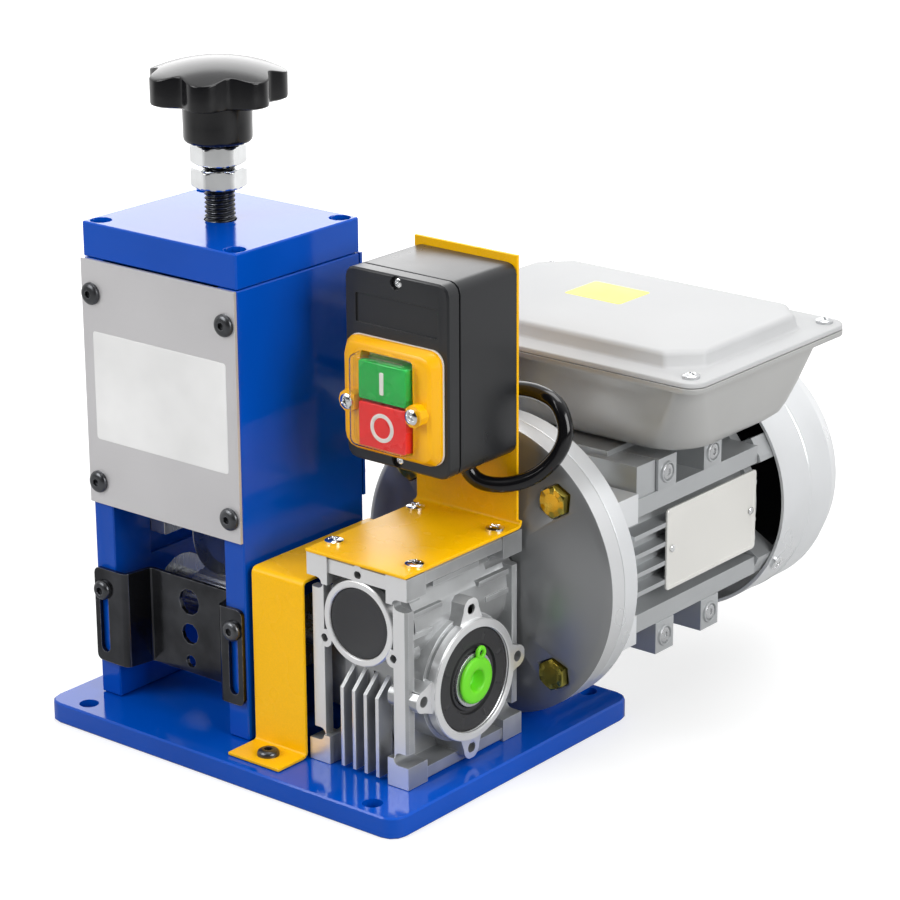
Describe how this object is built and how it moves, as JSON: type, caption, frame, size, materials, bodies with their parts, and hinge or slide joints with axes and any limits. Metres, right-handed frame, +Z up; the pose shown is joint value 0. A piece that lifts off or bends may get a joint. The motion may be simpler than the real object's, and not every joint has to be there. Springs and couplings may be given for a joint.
{
  "type": "bench wire stripping machine",
  "caption": "Motor-driven bench wire stripper: worm gearbox turns a fluted feed roller under a blade wheel set by a star knob, with push-button switch.",
  "frame": {"origin": "centre of the base plate's underside", "axes": "+Z up, -Y towards the side that takes the wire, +X towards the gearbox"},
  "size_m": [0.2544, 0.318, 0.3068],
  "materials": {
    "blue_enamel": "gloss",
    "brushed_aluminium": "brushed",
    "black_oxide": "satin",
    "bright_steel": "satin",
    "tool_steel": "satin",
    "bright_zinc": "bright",
    "yellow_zinc": "bright",
    "black_plastic": "gloss",
    "yellow_powder_coat": "satin",
    "cast_aluminium": "cast",
    "black_rubber": "matt",
    "bronze": "satin",
    "lime_plastic": "satin",
    "motor_grey": "satin",
    "wound_core": "matt",
    "fan_cover_grey": "satin",
    "pale_grey_paint": "satin",
    "charcoal_plastic": "satin",
    "yellow_plastic": "gloss",
    "green_plastic": "gloss",
    "red_plastic": "gloss"
  },
  "bodies": {
    "base": {"base_plate": "blue_enamel", "left_side_plate": "blue_enamel", "right_side_plate": "blue_enamel", "top_plate": "blue_enamel", "front_guard": "brushed_aluminium", "rear_guard": "blue_enamel", "shaft_cover": "yellow_powder_coat", "flange_bolt_1": "yellow_zinc", "flange_bolt_2": "yellow_zinc", "flange_bolt_3": "yellow_zinc", "flange_bolt_4": "yellow_zinc", "left_guide_screw": "black_oxide", "right_guide_screw": "black_oxide", "left_shaft_bearing": "bright_steel", "right_shaft_bearing": "bright_steel", "gearbox_housing": "cast_aluminium", "output_cover": "cast_aluminium", "left_output_bearing": "bright_steel", "right_output_bearing": "bright_steel", "left_output_seal": "black_rubber", "right_output_seal": "black_rubber", "worm_end_cap": "black_rubber", "front_worm_bearing": "bright_steel", "rear_worm_bearing": "bright_steel", "input_flange": "cast_aluminium", "front_shield": "motor_grey", "motor_frame": "motor_grey", "stator": "wound_core", "front_motor_bearing": "bright_steel", "rear_motor_bearing": "bright_steel", "rear_shield": "motor_grey", "fan_cover": "fan_cover_grey", "terminal_box": "pale_grey_paint", "terminal_box_lid": "pale_grey_paint", "capacitor": "black_plastic", "lead_gland": "black_plastic", "switch_bracket": "yellow_powder_coat", "switch_box": "charcoal_plastic", "switch_box_cover": "charcoal_plastic", "switch_bezel": "yellow_plastic", "contact_block": "black_plastic", "switch_lead": "black_plastic"},
    "head": {"slide_block": "bright_steel"},
    "knob": {"star_knob": "black_plastic", "threaded_rod": "black_oxide", "upper_nut": "bright_zinc", "lower_nut": "bright_zinc"},
    "blade": {"blade_wheel": "tool_steel", "blade_shaft": "bright_steel"},
    "guide": {"guide_plate": "black_oxide"},
    "feed": {"feed_roller": "bright_steel", "drive_shaft": "bright_steel", "output_shaft": "bright_steel", "worm_wheel": "bronze", "output_plug": "lime_plastic"},
    "motor_drive": {"worm_shaft": "bright_steel", "motor_rotor": "bright_steel", "cooling_fan": "black_plastic"},
    "green_push": {"green_button": "green_plastic"},
    "red_push": {"red_button": "red_plastic"}
  },
  "joints": [
    {"name": "head_slide", "type": "slide", "parent": "base", "child": "head", "axis": [0, 0, 1], "range_m": [-0.0015, 0.0185]},
    {"name": "knob_turn", "type": "hinge", "parent": "head", "child": "knob", "pos_m": [-0.04475, -0.0225, 0.2], "axis": [0, 0, 1], "range_deg": [-270.5, 3330.5]},
    {"name": "blade_spin", "type": "hinge", "parent": "head", "child": "blade", "pos_m": [-0.04475, -0.019, 0.0943], "axis": [1, 0, 0], "continuous": true},
    {"name": "guide_slide", "type": "slide", "parent": "base", "child": "guide", "axis": [0, 0, 1], "range_m": [0, 0.027]},
    {"name": "motor_spin", "type": "hinge", "parent": "base", "child": "motor_drive", "pos_m": [0.06225, -0.019, 0.0803], "axis": [0, 1, 0], "continuous": true},
    {"name": "feed_spin", "type": "hinge", "parent": "base", "child": "feed", "pos_m": [0.06225, -0.019, 0.0503], "axis": [1, 0, 0], "continuous": true},
    {"name": "green_press", "type": "slide", "parent": "base", "child": "green_push", "axis": [0, 1, 0], "range_m": [0, 0.003], "stiffness_N_per_m": 400, "springref_m": -0.001},
    {"name": "red_press", "type": "slide", "parent": "base", "child": "red_push", "axis": [0, 1, 0], "range_m": [0, 0.003], "stiffness_N_per_m": 400, "springref_m": -0.001}
  ],
  "couplings": [
    {"joint": "knob_turn", "follows": "head_slide", "rad_per_m": 3141.6},
    {"joint": "feed_spin", "follows": "motor_spin", "ratio": 0.033333}
  ]
}
